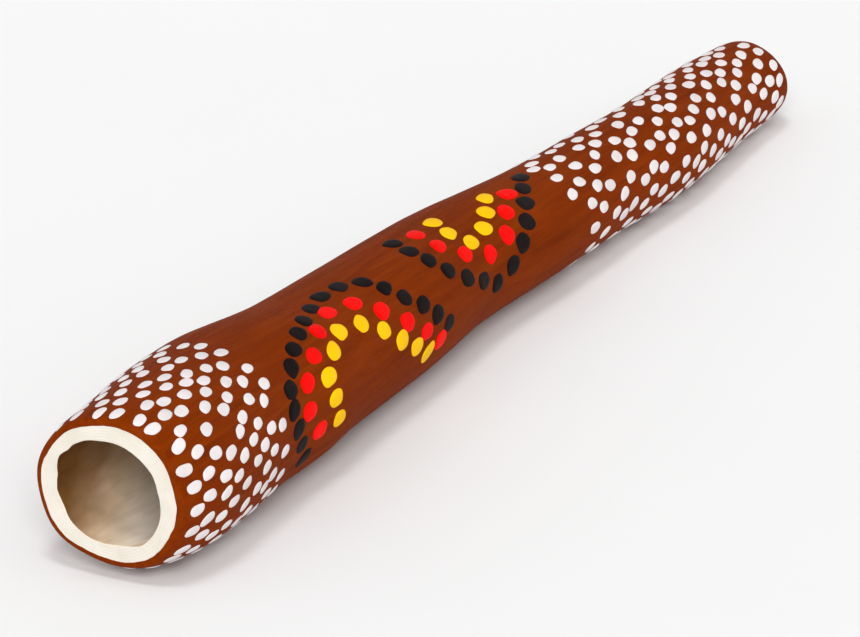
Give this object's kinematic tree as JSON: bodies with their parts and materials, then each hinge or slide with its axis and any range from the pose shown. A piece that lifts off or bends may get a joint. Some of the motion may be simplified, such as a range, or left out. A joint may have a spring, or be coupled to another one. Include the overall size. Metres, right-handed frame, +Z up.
{
  "type": "didgeridoo",
  "caption": "Long hollow wooden wind instrument with a flared bell, a beeswax mouthpiece and a painted pattern of dots in arches and fields.",
  "frame": {"origin": "on the ground under the middle of the instrument's box, where it lies on its side", "axes": "+X along the trunk from the bell towards the mouthpiece, +Y towards the rear, +Z up"},
  "size_m": [1.105, 0.1544, 0.1373],
  "materials": {
    "bare_wood": "bare pale hardwood, sanded end grain",
    "ochre_paint": "brown ochre paint brushed along the grain, low sheen",
    "beeswax": "hand-shaped beeswax, soft sheen",
    "white_paint": "thick white paint dabs, satin",
    "black_paint": "thick black paint dabs, satin",
    "red_paint": "thick red paint dabs, satin",
    "yellow_paint": "thick yellow paint dabs, satin"
  },
  "bodies": {
    "root": {"wooden_trunk": "bare_wood", "ochre_coat": "ochre_paint", "wax_mouthpiece": "beeswax", "bell_white_dots": "white_paint", "mouth_white_dots": "white_paint", "front_bell_arch_black": "black_paint", "front_bell_arch_red": "red_paint", "front_bell_arch_yellow": "yellow_paint", "front_mouth_arch_black": "black_paint", "front_mouth_arch_red": "red_paint", "front_mouth_arch_yellow": "yellow_paint", "rear_bell_arch_black": "black_paint", "rear_bell_arch_red": "red_paint", "rear_bell_arch_yellow": "yellow_paint", "rear_mouth_arch_black": "black_paint", "rear_mouth_arch_red": "red_paint", "rear_mouth_arch_yellow": "yellow_paint"}
  },
  "joints": []
}
